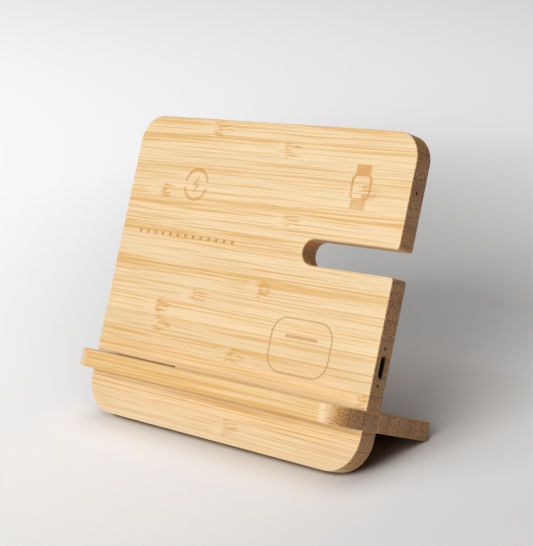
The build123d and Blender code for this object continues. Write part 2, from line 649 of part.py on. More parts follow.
def flat_cable():
    """From the inlet board across, up and across again to the driver board, flat on both."""
    half = CABLE_WIDTH / 2
    left_x = DRIVER_BOARD_RIGHT - CABLE_LANDING
    right_x = INLET_BOARD_LEFT + CABLE_LANDING
    corners = [
        (right_x, INLET_Y - half), (CABLE_X - half, INLET_Y - half), (CABLE_X - half, CABLE_Y - half),
        (left_x, CABLE_Y - half), (left_x, CABLE_Y + half), (CABLE_X + half, CABLE_Y + half),
        (CABLE_X + half, INLET_Y + half), (right_x, INLET_Y + half),
    ]
    return layer(make_face(Polyline(*corners, close=True)), BOARD_BACK_DEPTH, CABLE_THICKNESS)


def all_pieces():
    """Every node by name, still in the main board's flat frame."""
    pieces = {"main_board": main_board(), "support_board": support_board(), "back_cover": back_cover()}
    pieces["cover_screws"] = group([cover_screw(x, y) for x, y in cover_screw_places()])

    pieces.update(coil_set("phone", PHONE_X, PHONE_Y, PHONE_COIL_RADIUS, PHONE_COIL_BORE, 0))
    pieces.update(coil_set("earbud", EARBUD_X, EARBUD_COIL_Y, EARBUD_COIL_RADIUS, EARBUD_COIL_BORE, 0))
    pieces.update(coil_set("watch", WATCH_X, WATCH_Y, WATCH_COIL_RADIUS, WATCH_COIL_BORE,
                           MAGNET_RADIUS + MAGNET_GAP))
    pieces["watch_magnet"] = disc(MAGNET_RADIUS, WATCH_X, WATCH_Y, COIL_DEPTH, SHIELD_BACK - COIL_DEPTH)
    pieces["coil_foam_pads"] = group([
        foam_pad(PHONE_X, PHONE_Y, PHONE_COIL_RADIUS),
        foam_pad(EARBUD_X, EARBUD_COIL_Y, EARBUD_COIL_RADIUS),
    ])

    channels = [channel_parts(CABLE_Y + row * ROW_PITCH) for row in (-1, 1, 2)]
    pieces["driver_board"] = driver_board()
    pieces["driver_board_screws"] = group([pin_screw(x, y) for x, y in driver_board_screw_places()])
    pieces["driver_chips"] = group([chip for chip, inductor, capacitors in channels])
    pieces["power_inductors"] = group([inductor for chip, inductor, capacitors in channels])
    pieces["resonance_capacitors"] = group([part for channel in channels for part in channel[2]])
    pieces["control_chip"] = bar(CONTROL_CHIP_WIDTH, CONTROL_CHIP_WIDTH, CHIP_THICKNESS, DRIVER_BOARD_X,
                                 CABLE_Y, BOARD_BACK_DEPTH)

    pieces["inlet_board"] = inlet_board()
    pieces["inlet_board_screws"] = group([pin_screw(x, y) for x, y in inlet_board_screw_places()])
    pieces["inlet_shell"] = inlet_shell()
    pieces["inlet_tongue"] = inlet_tongue()
    pieces["inlet_contacts"] = group(inlet_contacts())

    pieces["indicator_lamps"] = group([lamp(y) for y in pinhole_heights()])
    pieces["light_rods"] = group([light_rod(y) for y in pinhole_heights()])
    pieces["lamp_board"] = lamp_board()
    pieces["lamp_wires"] = lamp_wires()

    pieces["phone_coil_leads"] = coil_leads(PHONE_X, PHONE_Y, PHONE_COIL_RADIUS, PHONE_LEAD_DROP, 1)
    pieces["watch_coil_leads"] = coil_leads(WATCH_X, WATCH_Y, WATCH_COIL_RADIUS, WATCH_LEAD_DROP, -1)
    pieces["earbud_coil_leads"] = earbud_coil_leads()
    pieces["flat_cable"] = flat_cable()
    return pieces


def standing_place():
    """Leans the stand back on its lower rear edge and its foot, centred over the ground."""
    tilt = math.radians(TILT)
    up, back = math.sin(tilt), math.cos(tilt)

    def rounded_edge(y, z):
        """Where the centre of an edge's rounding goes when the board leans: across and up."""
        return y * up - z * back, y * back + z * up

    lower_rear = rounded_edge(EDGE_ROUNDING, EDGE_ROUNDING - BOARD_THICKNESS)
    shelf_nose = rounded_edge(SUPPORT_RISE + EDGE_ROUNDING, SHELF_DEPTH - EDGE_ROUNDING)
    upper_rear = rounded_edge(BOARD_HEIGHT - EDGE_ROUNDING, EDGE_ROUNDING - BOARD_THICKNESS)
    front = shelf_nose[0] - EDGE_ROUNDING
    rear = upper_rear[0] + EDGE_ROUNDING
    ground = lower_rear[1] - EDGE_ROUNDING
    return Pos(0, -(front + rear) / 2, -ground) * Rot(90 - TILT, 0, 0)


os.makedirs("parts", exist_ok=True)
place = standing_place()
for name, piece in all_pieces().items():
    export_step(place * piece, f"parts/{name}.step")
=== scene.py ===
import json
import math

import bmesh
import bpy
from mathutils import Matrix, Vector


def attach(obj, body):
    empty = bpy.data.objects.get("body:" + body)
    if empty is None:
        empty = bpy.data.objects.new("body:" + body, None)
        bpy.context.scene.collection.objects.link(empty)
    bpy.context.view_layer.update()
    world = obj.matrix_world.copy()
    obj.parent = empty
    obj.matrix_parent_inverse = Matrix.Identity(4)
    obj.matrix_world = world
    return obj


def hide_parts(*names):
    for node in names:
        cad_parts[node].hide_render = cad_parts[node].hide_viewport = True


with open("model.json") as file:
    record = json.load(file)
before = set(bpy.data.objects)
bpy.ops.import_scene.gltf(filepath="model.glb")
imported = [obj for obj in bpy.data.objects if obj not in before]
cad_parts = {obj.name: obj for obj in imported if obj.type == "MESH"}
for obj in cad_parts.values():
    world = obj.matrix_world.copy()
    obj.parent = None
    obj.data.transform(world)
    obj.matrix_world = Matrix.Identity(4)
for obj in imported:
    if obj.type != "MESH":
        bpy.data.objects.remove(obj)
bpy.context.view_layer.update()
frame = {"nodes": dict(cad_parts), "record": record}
nodes = frame["nodes"]
bpy.context.scene.view_settings.view_transform = "Standard"

# Camera
# It looks down on the stand from beyond its right end, about 0.7 m away, and is held slightly
# askew.
camera_lens = bpy.data.cameras.new("camera")
camera_lens.sensor_fit = "HORIZONTAL"
camera_lens.sensor_width = 36
camera_lens.lens = 104.35
camera_place = Vector((0.4662, -0.4343, 0.2703))
camera_look = Vector((-0.6864, 0.6604, -0.3047)).normalized()
camera_up = Vector((-0.1125, 0.3175, 0.9416))
camera_right = camera_look.cross(camera_up).normalized()
camera_up = camera_right.cross(camera_look)
camera_turn = Matrix((camera_right, camera_up, -camera_look)).transposed().to_4x4()
camera = bpy.data.objects.new("camera", camera_lens)
camera.matrix_world = Matrix.Translation(camera_place) @ camera_turn
bpy.context.scene.collection.objects.link(camera)
bpy.context.scene.camera = camera

# Floor
# A wide matte white sweep of paper. Where it is seen directly it has a little more light in its
# own colour, and deeper painted shade round the stand, so that it reads as the pale ground of a studio.
FLOOR_REACH = 6.0
LAMP_WAY = (0.02, -0.97, 0.24)
FORWARD_AND_UP = (0.0, -0.6, 0.8)
FAR_LIGHT = 0.40
FRONT_LOSS = 0.35
RIGHT_LOSS = 0.37
floor_corners = [(x * FLOOR_REACH, y * FLOOR_REACH, 0) for x, y in ((-1, -1), (1, -1), (1, 1), (-1, 1))]
floor_mesh = bpy.data.meshes.new("floor")
floor_mesh.from_pydata(floor_corners, [], [(0, 1, 2, 3)])
floor = bpy.data.objects.new("floor", floor_mesh)
bpy.context.scene.collection.objects.link(floor)


def tone(red, green, blue):
    """A colour read from 0 to 255, as the shaders want it."""
    def linear(value):
        value /= 255
        return value / 12.92 if value <= 0.04045 else ((value + 0.055) / 1.055) ** 2.4

    return (linear(red), linear(green), linear(blue), 1.0)


def fill(tree, socket, value):
    """Links a socket to another's output, or sets it to a plain value."""
    if isinstance(value, bpy.types.NodeSocket):
        tree.links.new(value, socket)
    else:
        socket.default_value = value


def put(tree, kind, *inputs, **settings):
    """Adds a node, fills its inputs in order, but for those that are None, and gives it back."""
    node = tree.nodes.new("ShaderNode" + kind)
    for name, value in settings.items():
        setattr(node, name, value)
    for socket, value in zip(node.inputs, inputs):
        if value is not None:
            fill(tree, socket, value)
    return node


def feed(tree, node, **inputs):
    """Fills a node's inputs by name; words in an input's name are joined by underscores."""
    for name, value in inputs.items():
        fill(tree, node.inputs[name.replace("_", " ")], value)


def maths(tree, operation, first, second=None):
    return put(tree, "Math", first, second, operation=operation).outputs[0]


def plus(tree, first, *others):
    for other in others:
        first = maths(tree, "ADD", first, other)
    return first


def minus(tree, first, second):
    return maths(tree, "SUBTRACT", first, second)


def times(tree, first, *others):
    for other in others:
        first = maths(tree, "MULTIPLY", first, other)
    return first


def dimmed(tree, value, mask, share=1.0):
    """The value, smaller by the share where the mask is 1."""
    return times(tree, value, minus(tree, 1.0, times(tree, mask, share)))


def rise(tree, value, start, end):
    """Goes smoothly from 0 to 1 as the value goes from start to end."""
    return put(tree, "MapRange", value, start, end, interpolation_type="SMOOTHSTEP").outputs[0]


def mix(tree, below, above, mask, most=1.0):
    """One colour laid over another where the mask is 1, by at most the given share."""
    share = mask if most == 1.0 else times(tree, mask, most)
    other_sockets = [None] * 5
    return put(tree, "Mix", share, *other_sockets, below, above, data_type="RGBA").outputs[2]


def split(tree, vector):
    return put(tree, "SeparateXYZ", vector).outputs


def new_material(name):
    """A material with its shader: gives back the material, its node tree and the shader."""
    material = bpy.data.materials.new(name)
    material.use_nodes = True
    tree = material.node_tree
    shader = next(node for node in tree.nodes if node.type == "BSDF_PRINCIPLED")
    return material, tree, shader


def openness(tree, reach, direction):
    """How clear of the stand the space towards a direction is, within a reach, from 0 to 1."""
    towards = put(tree, "CombineXYZ", *direction).outputs[0]
    return put(tree, "AmbientOcclusion", None, reach, towards, samples=16).outputs["AO"]


def off_centre(tree, value, centre, steepness):
    """The square of the distance from a centre, for a soft round patch."""
    distance = times(tree, minus(tree, value, centre), steepness)
    return times(tree, distance, distance)


PAPER = tone(222, 222, 222)
PAPER_IN_LIGHT = tone(239, 238, 238)
PAPER_IN_DIM = tone(204, 201, 198)
SHADE_BEHIND = tone(154, 152, 149)
SHADE_NEAR = tone(70, 46, 32)
SHADE_UNDER = tone(84, 56, 38)
PAPER_GLOW = tone(254, 254, 255)
floor_paper, tree, shader = new_material("floor paper")
feed(tree, shader, Base_Color=PAPER, Roughness=0.9, Specular_IOR_Level=0.1)
# The ground's right and its way back, as they lie for someone beyond the stand's front right corner
ACROSS = 0.73
ASLANT = 0.69
x, y = split(tree, put(tree, "TexCoord").outputs["Object"])[:2]
rightward = plus(tree, times(tree, x, ACROSS), times(tree, y, ASLANT))
rightward = put(tree, "Clamp", rightward, -0.5, 0.7).outputs[0]
away = minus(tree, times(tree, y, ACROSS), times(tree, x, ASLANT))
away = put(tree, "Clamp", away, -0.3, 2.0).outputs[0]
# The extra light is weaker in front of the stand and to the right
faded = maths(tree, "EXPONENT", times(tree, plus(tree, away, 0.1), -2.0))
extra = minus(tree, FAR_LIGHT, times(tree, faded, FRONT_LOSS))
extra = minus(tree, extra, times(tree, rightward, RIGHT_LOSS))
# It is held back where the stand covers the way to the main lamp
lit = openness(tree, reach=0.45, direction=LAMP_WAY)
extra = maths(tree, "MAXIMUM", times(tree, extra, maths(tree, "POWER", lit, 8.0)), 0.0)
# Behind the stand a wide soft shade is painted into the paper's colour
shade_away = off_centre(tree, away, centre=0.27, steepness=4.6)
shade_right = off_centre(tree, rightward, centre=0.05, steepness=9.0)
behind = maths(tree, "EXPONENT", times(tree, plus(tree, shade_away, shade_right), -1.0))
extra = dimmed(tree, extra, behind, 0.5)
# Where the stand covers the way to the main lamp, the paper is painted dimmer and then dark brown, as painted
# shade
ground = mix(tree, PAPER_IN_DIM, PAPER_IN_LIGHT, rise(tree, lit, 0.35, 0.95))
ground = mix(tree, ground, SHADE_BEHIND, behind, 0.48)
ground = mix(tree, SHADE_NEAR, ground, rise(tree, lit, 0.05, 0.50))
# Right under the boards the paper is painted dark, a painted shade with a clear edge
under = rise(tree, openness(tree, reach=0.045, direction=FORWARD_AND_UP), 0.52, 0.34)
extra = dimmed(tree, extra, under)
ground = mix(tree, ground, SHADE_UNDER, under, 0.80)
seen_paper = put(tree, "BsdfDiffuse", ground, 0.0)
glow = put(tree, "Emission", PAPER_GLOW, extra)
lit_paper = put(tree, "AddShader", seen_paper.outputs[0], glow.outputs[0])
path = put(tree, "LightPath").outputs
reflected = maths(tree, "MAXIMUM", path["Is Glossy Ray"], path["Is Transmission Ray"])
seen = maths(tree, "MAXIMUM", path["Is Camera Ray"], reflected)
paper = put(tree, "MixShader", seen, shader.outputs[0], lit_paper.outputs[0])
feed(tree, tree.nodes["Material Output"], Surface=paper.outputs[0])
floor_mesh.materials.append(floor_paper)

# Studio light
# A wide softbox in front of the stand and above it, square to its face, and a weaker one overhead.
# The room around them is dim, and the white floor throws some light back.
room = bpy.data.worlds.new("room")
room.use_nodes = True
feed(room.node_tree, room.node_tree.nodes["Background"], Color=tone(238, 240, 246), Strength=0.07)
bpy.context.scene.world = room


def softbox(name, width, height, power, colour, place, aim):
    """A soft rectangular lamp, in watts, that points at its aim."""
    light = bpy.data.lights.new(name, "AREA")
    light.shape = "RECTANGLE"
    light.size = width
    light.size_y = height
    light.energy = power
    light.color = colour
    lamp = bpy.data.objects.new(name, light)
    facing = (Vector(aim) - Vector(place)).to_track_quat("-Z", "Y").to_matrix().to_4x4()
    lamp.matrix_world = Matrix.Translation(place) @ facing
    bpy.context.scene.collection.objects.link(lamp)


softbox("key", width=2.0, height=1.4, power=47.0, colour=(1.0, 0.99, 0.965),
        place=(0.15, -2.08, 1.28), aim=(0.0, 0.0, 0.06))
softbox("top", width=1.8, height=1.4, power=18.0, colour=(0.98, 0.99, 1.0),
        place=(-0.25, 0.15, 2.08), aim=(-0.05, 0.02, 0.0))

# Main board
# A plate of bamboo strips glued side by side, sanded and thinly lacquered, with its grain from
# left to right. It leans back, so its own flat frame is found from the mount on its rear face.
rear_mount = next(mount for mount in frame["record"]["mounts"] if mount["name"] == "rear_face")
BOARD_THICKNESS = 0.009
REAR_MOUNT_FLAT = Vector((-0.04, 0.06, -BOARD_THICKNESS))
lean = math.atan2(rear_mount["axis"][1], -rear_mount["axis"][2])
flat_to_world = Matrix.Rotation(lean, 3, "X")
flat_origin = Vector(rear_mount["pos_m"]) - flat_to_world @ REAR_MOUNT_FLAT
STRIP_WIDTH = 0.0076
BOARD_STRIP_START = 0.0029
KNUCKLE_REACH = 0.011
BAMBOO_BUMP = 0.12
BLACK = tone(0, 0, 0)
PALE = tone(247, 221, 180)
HONEY = tone(240, 200, 136)
STREAK = tone(227, 173, 86)
FIBRE = tone(213, 158, 86)
KNOT = tone(222, 160, 74)
KNOT_DASH = tone(158, 104, 50)
END_HONEY = tone(233, 178, 106)
DOT_HONEY = tone(182, 120, 60)
END_PALE = tone(204, 152, 99)
END_DARK = tone(130, 85, 48)
DOWN_FACING_SHADE = tone(214, 140, 70)
BOTTOM_PALE = tone(252, 236, 204)
SHELF_SHADE = tone(222, 198, 138)
LOWER_BURN = tone(203, 146, 77)
UPPER_BURN = tone(217, 158, 78)


def new_group(name, inputs, outputs):
    """A shader node group with named sockets: gives back its tree, its inputs and its output node."""
    tree = bpy.data.node_groups.new(name, "ShaderNodeTree")
    for socket, kind in inputs.items():
        tree.interface.new_socket(socket, in_out="INPUT", socket_type="NodeSocket" + kind)
    for socket, kind in outputs.items():
        tree.interface.new_socket(socket, in_out="OUTPUT", socket_type="NodeSocket" + kind)
    return tree, tree.nodes.new("NodeGroupInput").outputs, tree.nodes.new("NodeGroupOutput")


def place_group(tree, group, **inputs):
    """Puts a node group into a material, with its inputs by name, and gives back its outputs."""
    node = tree.nodes.new("ShaderNodeGroup")
    node.node_tree = group
    feed(tree, node, **inputs)
    return node.outputs


def between(tree, share, low, high):
    return plus(tree, times(tree, share, high - low), low)


def apart(tree, value, middle):
    return maths(tree, "ABSOLUTE", minus(tree, value, middle))


def chance(tree, number, outcome="Value"):
    """A random value that is always the same for the same number; as a colour, three of them."""
    return put(tree, "TexWhiteNoise", None, number, noise_dimensions="1D").outputs[outcome]


def noise(tree, place, scale, detail, roughness=0.5):
    return put(tree, "TexNoise", place, None, scale, detail, roughness).outputs[0]


def stretched(tree, place, along, across):
    """A place whose grain runs along X: cells are 1/along long and 1/across wide, in metres."""
    scaled = [times(tree, part, scale) for part, scale in zip(place, (along, across, across))]
    return put(tree, "CombineXYZ", *scaled).outputs[0]


def streaks(tree, place, along, across, detail=1.0, roughness=0.5):
    return noise(tree, stretched(tree, place, along, across), 1.0, detail, roughness)


def strip_of(tree, y, width, start):
    """Which strip a place is in, and how far across it, from 0 to 1."""
    strips = maths(tree, "DIVIDE", minus(tree, y, start), width)
    return maths(tree, "FLOOR", strips), maths(tree, "FRACT", strips)


def bamboo_grain():
    """Laminated bamboo: strips across Y, fibres along X, and bundle dots on the sawn ends."""
    tree, given, result = new_group(
        "bamboo grain",
        {"Place": "Vector", "Facing": "Vector", "Strip Width": "Float", "Strip Start": "Float",
         "Seed": "Float", "Knot Place": "Float", "Honey": "Float"},
        {"Colour": "Color", "Height": "Float", "Roughness": "Float"})
    x, y, z = split(tree, given["Place"])
    strip, part = strip_of(tree, y, given["Strip Width"], given["Strip Start"])
    numbered = plus(tree, strip, given["Seed"])
    shift, lightness, seam = split(tree, chance(tree, numbered, "Color"))
    turned, flaming, lined = split(tree, chance(tree, plus(tree, numbered, 500.0), "Color"))
    straight = (plus(tree, x, shift), y, z)

    def waver(along, across):
        return minus(tree, streaks(tree, straight, along, across), 0.5)

    # How far into the strip's knuckle a place is, and on which side of its middle
    side = minus(tree, part, 0.5)
    along = minus(tree, x, given["Knot Place"])
    along = plus(tree, along, times(tree, waver(along=120, across=520), 0.0075))
    reach = maths(tree, "DIVIDE", along, KNUCKLE_REACH)
    spread = plus(tree, times(tree, reach, reach), times(tree, side, side, 2.6))
    knot = rise(tree, spread, 1.0, 0.25)
    near = times(tree, rise(tree, maths(tree, "ABSOLUTE", along), 0.0042, 0.0006), knot)
    before = times(tree, rise(tree, along, 0.0004, -0.0016), knot)
    after = times(tree, rise(tree, along, -0.0012, 0.0008), knot)

    # Fibres waver slightly along the strip, and part and close up again round a knuckle
    swim = times(tree, waver(along=16, across=60), 0.0014)
    swirl = times(tree, waver(along=170, across=300), times(tree, knot, 0.0011))
    eddy = times(tree, waver(along=430, across=620), times(tree, near, 0.0008))
    parting = times(tree, side, reach, times(tree, knot, 0.0022))
    wavy = (straight[0], minus(tree, plus(tree, y, swim, swirl, eddy), parting), z)

    # A strip is denser and darker towards the side that faced out of the stalk
    outward = apart(tree, part, maths(tree, "LESS_THAN", turned, 0.3))
    band = times(tree, streaks(tree, wavy, along=11, across=300), 1.3)
    dense = rise(tree, plus(tree, outward, given["Honey"], band), 0.85, 1.75)
    flame_start = minus(tree, 0.67, plus(tree, times(tree, dense, 0.14), times(tree, flaming, 0.05)))
    flame = streaks(tree, wavy, along=9, across=680, detail=2.0, roughness=0.45)
    flames = rise(tree, flame, flame_start, plus(tree, flame_start, 0.11))
    line_start = minus(tree, 0.55, times(tree, dense, 0.10))
    line = streaks(tree, wavy, along=11, across=1150, detail=2.0)
    lines = rise(tree, line, line_start, plus(tree, line_start, 0.09))
    fibres = rise(tree, streaks(tree, wavy, along=26, across=2300), 0.42, 0.70)
    colour = mix(tree, PALE, HONEY, dense, 0.30)
    colour = mix(tree, colour, STREAK, flames, 0.46)
    colour = mix(tree, colour, STREAK, times(tree, lines, between(tree, lined, 0.40, 0.70)))
    colour = mix(tree, colour, FIBRE, fibres, 0.32)
    edge = maths(tree, "ABSOLUTE", side)
    glue = times(tree, rise(tree, edge, 0.478, 0.5), between(tree, seam, 0.1, 0.6))
    colour = mix(tree, colour, FIBRE, glue)

    # A knuckle is pale on one side of its middle. Tapered flames of fibre end there and others
    # start from it, with a few short dark dashes
    strength = between(tree, flaming, 0.65, 1.0)
    colour = mix(tree, colour, PALE, before, 0.50)
    tongue_start = minus(tree, 0.58, times(tree, after, 0.12))
    tongue = streaks(tree, wavy, along=90, across=1150)
    tongues = rise(tree, tongue, tongue_start, plus(tree, tongue_start, 0.14))
    colour = mix(tree, colour, KNOT, times(tree, tongues, knot, strength), 0.85)
    smears = rise(tree, streaks(tree, wavy, along=230, across=1500), 0.50, 0.64)
    colour = mix(tree, colour, KNOT, times(tree, smears, near, strength), 0.80)
    dashes = rise(tree, streaks(tree, wavy, along=300, across=1250), 0.67, 0.73)
    dashes = times(tree, dashes, rise(tree, along, 0.0055, 0.0025))
    colour = mix(tree, colour, KNOT_DASH, times(tree, dashes, after, strength), 0.85)

    # Where a face turns towards the ends of the fibres, short cut fibres flare pale and then
    # honey brown
    turned_to = split(tree, given["Facing"])[0]
    facing_end = maths(tree, "MAXIMUM", turned_to, times(tree, turned_to, -0.7))
    flare = times(tree, rise(tree, facing_end, 0.05, 0.26), 0.75)
    colour = mix(tree, colour, PALE, flare)
    cuts = rise(tree, streaks(tree, straight, along=900, across=1900), 0.56, 0.64)
    colour = mix(tree, colour, FIBRE, times(tree, cuts, flare), 0.5)

    # The ends of the fibre bundles are dark dots, closer together towards the outer side
    sawn = rise(tree, facing_end, 0.20, 0.68)
    honeyed = rise(tree, facing_end, 0.97, 0.50)
    bundle_place = stretched(tree, straight, along=30, across=1150)
    bundle = put(tree, "TexVoronoi", bundle_place, None, 1.0).outputs[0]
    gaps = mix(tree, END_PALE, END_HONEY, honeyed, 0.90)
    dots = mix(tree, END_DARK, DOT_HONEY, honeyed, 0.70)
    ends = mix(tree, gaps, dots, rise(tree, bundle, 0.62, 0.22))
    ends = mix(tree, ends, dots, outward, 0.36)
    ends = mix(tree, ends, gaps, lightness, 0.36)
    ends = mix(tree, ends, dots, rise(tree, edge, 0.455, 0.49), 0.60)
    colour = mix(tree, colour, ends, sawn)
    colour = mix(tree, BLACK, colour, between(tree, lightness, 0.965, 1.0))

    grooves = plus(tree, times(tree, fibres, 0.5), times(tree, lines, 0.3))
    feed(tree, result, Colour=colour, Height=minus(tree, 1.0, grooves),
         Roughness=between(tree, fibres, 0.46, 0.58))
    return tree


def flat_place(tree, turn=0.0):
    """The board's own flat frame, from the object's coordinates; the turn is about its grain."""
    place = put(tree, "TexCoord").outputs["Object"]
    tilt = (lean + turn, 0.0, 0.0)
    return put(tree, "Mapping", place, flat_origin, tilt, vector_type="TEXTURE").outputs[0]


def flat_facing(tree, turn=0.0):
    """Which way a face looks, in the same frame."""
    normal = put(tree, "TexCoord").outputs["Normal"]
    tilt = (lean + turn, 0.0, 0.0)
    return put(tree, "Mapping", normal, (0.0, 0.0, 0.0), tilt, vector_type="TEXTURE").outputs[0]


def bump(tree, shader, height, strength, depth=0.0001):
    feed(tree, shader, Normal=put(tree, "Bump", strength, depth, None, height).outputs[0])


def dress(node_name, material):
    """Puts the material on every slot of a piece of the frame."""
    mesh = nodes[node_name].data
    mesh.materials.clear()
    mesh.materials.append(material)
    for face in mesh.polygons:
        face.material_index = 0


# The knuckles of the stalks that show on the front, at most one in each strip: the strip, counted
# up from the bottom, and the place along it, from the board's middle
board_knots = {
    0: 0.008, 2: 0.073, 3: 0.079, 4: 0.003, 5: -0.046, 6: -0.049, 7: -0.0275, 8: 0.012,
    12: 0.019, 13: -0.061, 14: 0.058, 16: 0.011, 17: -0.033,
}
NO_KNOT = 1.0

# Places on the board, each from where a change in the finish or a painted shade starts to where it
# is complete: up from the bottom edge, back from the front, and across from the middle
SHADE_BELOW_SHELF = (0.030, 0.014)
BOTTOM_STRIP = (0.0075, 0.0055)
CASE_MARK = (0.075, 0.070)
ABOVE_CASE_MARK = (0.070, 0.075)
UPPER_MARKS = (0.090, 0.095)
MARK_FLOOR = (-0.00005, -0.00011)
MARK_LIMIT = (-0.00022, -0.00017)
HOLES_BEGIN = (-0.0015, -0.0020)
HOLES_END = (-0.0075, -0.0070)
RIGHT_EDGE = (0.0760, 0.0765)
SHELF_HEIGHT = 0.031
NOTCH_HEIGHT = 0.088
FAINT_HEIGHT = 0.107

GRAIN = bamboo_grain()
board_bamboo, tree, shader = new_material("board bamboo")
place = flat_place(tree)
facing = flat_facing(tree)
x, y, depth = split(tree, place)
facing_right, facing_up, ahead = split(tree, facing)
strip = strip_of(tree, y, STRIP_WIDTH, BOARD_STRIP_START)[0]
knot_place = NO_KNOT
for number, knot_x in board_knots.items():
    here = put(tree, "Math", strip, float(number), 0.5, operation="COMPARE").outputs[0]
    knot_place = plus(tree, times(tree, here, knot_x - NO_KNOT), knot_place)
# Below the shelf the grain is painted a little more honey dark, as painted shade towards the bottom
grain = place_group(tree, GRAIN, Place=place, Facing=facing, Strip_Width=STRIP_WIDTH,
                    Strip_Start=BOARD_STRIP_START, Seed=3.0, Knot_Place=knot_place,
                    Honey=times(tree, rise(tree, y, *SHADE_BELOW_SHELF), 0.08))
# The walls of the inlet's hole and of the pinholes in the right edge are painted dark, as painted shade
# inside these holes
inside = times(tree, rise(tree, depth, *HOLES_BEGIN), rise(tree, depth, *HOLES_END))
shaded_hole_walls = rise(tree, maths(tree, "ABSOLUTE", facing_right), 0.5, 0.3)
near_edge = times(tree, rise(tree, x, *RIGHT_EDGE), shaded_hole_walls)
off_notch = rise(tree, apart(tree, y, NOTCH_HEIGHT), 0.012, 0.014)
wood = mix(tree, grain["Colour"], END_DARK, times(tree, inside, near_edge, off_notch), 0.85)
# The upper wall of the strap notch, which turns down, is painted an orange brown where it faces down, as
# painted shade
down_facing_shade = times(tree, rise(tree, facing_up, -0.15, -0.60), rise(tree, y, *ABOVE_CASE_MARK))
wood = mix(tree, wood, DOWN_FACING_SHADE, down_facing_shade, 0.35)
# On the front the bottom strip is paler, and round the shelf the front is painted a little darker
# and yellower, as painted shade near the shelf
on_front = rise(tree, ahead, 0.5, 0.9)
palest = times(tree, rise(tree, y, *BOTTOM_STRIP), on_front)
wood = mix(tree, wood, BOTTOM_PALE, palest, 0.40)
shade_round_shelf = times(tree, rise(tree, apart(tree, y, SHELF_HEIGHT), 0.022, 0.007), on_front)
wood = mix(tree, wood, SHELF_SHADE, shade_round_shelf, 0.18)
# Engraved marks are burnt brown, on their floors just below the front and on their walls
shallow = rise(tree, depth, *MARK_LIMIT)
mark_floors = times(tree, rise(tree, ahead, 0.85, 0.95), rise(tree, depth, *MARK_FLOOR))
mark_walls = rise(tree, ahead, 0.42, 0.30)
patchy = between(tree, noise(tree, place, 900.0, 2.0), 0.55, 1.05)
burnt = times(tree, shallow, maths(tree, "MAXIMUM", mark_floors, mark_walls), patchy)
burnt = dimmed(tree, burnt, rise(tree, apart(tree, y, FAINT_HEIGHT), 0.010, 0.004), 0.35)
burnt = dimmed(tree, burnt, rise(tree, y, *CASE_MARK), 0.30)
burn = mix(tree, LOWER_BURN, UPPER_BURN, rise(tree, y, *UPPER_MARKS))
feed(tree, shader, Base_Color=mix(tree, wood, burn, burnt), Roughness=grain["Roughness"])
bump(tree, shader, grain["Height"], BAMBOO_BUMP)
dress("main_board", board_bamboo)

# Windings
# Three flat coils of stranded copper wire, wound as spirals with their turns side by side. Each
# lies on its adhesive pad just behind the front wall, under the place that it charges.
WINDING_DEPTH = 0.0031
WIRE_RADIUS = 0.00056
WIRE_GAP = 0.00002
STRAND_LAY = 0.0011
COPPER = tone(206, 124, 74)
COPPER_SHADE = tone(122, 62, 36)

# Each winding's centre on the board, and the radii of its bore and its rim
windings = {
    "phone_coil": ((-0.0396, 0.1094), 0.0095, 0.0205),
    "earbud_coil": ((0.0412, 0.0469), 0.0060, 0.0124),
    "watch_coil": ((0.0565, 0.11551), 0.0074, 0.0116),
}


def build_tree(name, inputs):
    """A geometry tree with named inputs: gives back the tree, its inputs and its output socket."""
    tree = bpy.data.node_groups.new(name, "GeometryNodeTree")
    tree.interface.new_socket("Geometry", in_out="INPUT", socket_type="NodeSocketGeometry")
    for socket, kind in inputs.items():
        tree.interface.new_socket(socket, in_out="INPUT", socket_type="NodeSocket" + kind)
    tree.interface.new_socket("Geometry", in_out="OUTPUT", socket_type="NodeSocketGeometry")
    return tree, tree.nodes.new("NodeGroupInput").outputs, tree.nodes.new("NodeGroupOutput").inputs[0]


def step(tree, kind, outcome, **inputs):
    """Adds a geometry node, with its inputs by name, and gives back the named output."""
    node = tree.nodes.new(kind)
    feed(tree, node, **inputs)
    return node.outputs[outcome]


def end_tree(tree, made, finish, outcome):
    """The last steps of every tree: real geometry with its material on."""
    real = step(tree, "GeometryNodeRealizeInstances", "Geometry", Geometry=made)
    tree.links.new(step(tree, "GeometryNodeSetMaterial", "Geometry", Geometry=real, Material=finish), outcome)


def grow(name, tree, points, node_name, slot, **sizes):
    """Runs a geometry tree once and keeps what it makes, as a plain mesh in place of a node."""
    start = bpy.data.meshes.new(name + "_points")
    start.from_pydata(points, [], [])
    maker = bpy.data.objects.new(name + "_maker", start)
    bpy.context.scene.collection.objects.link(maker)
    modifier = maker.modifiers.new("tree", "NODES")
    modifier.node_group = tree
    for item in tree.interface.items_tree:
        key = item.name.replace(" ", "_")
        if item.in_out == "INPUT" and key in sizes:
            modifier[item.identifier] = sizes[key]
    grown = maker.evaluated_get(bpy.context.evaluated_depsgraph_get())
    mesh = bpy.data.meshes.new_from_object(grown)
    mesh.name = name
    mesh.transform(Matrix.Translation(flat_origin) @ flat_to_world.to_4x4())
    bpy.data.objects.remove(maker)
    piece = bpy.data.objects.new(name, mesh)
    bpy.context.scene.collection.objects.link(piece)
    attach(piece, "stand")
    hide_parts(node_name)
    return piece


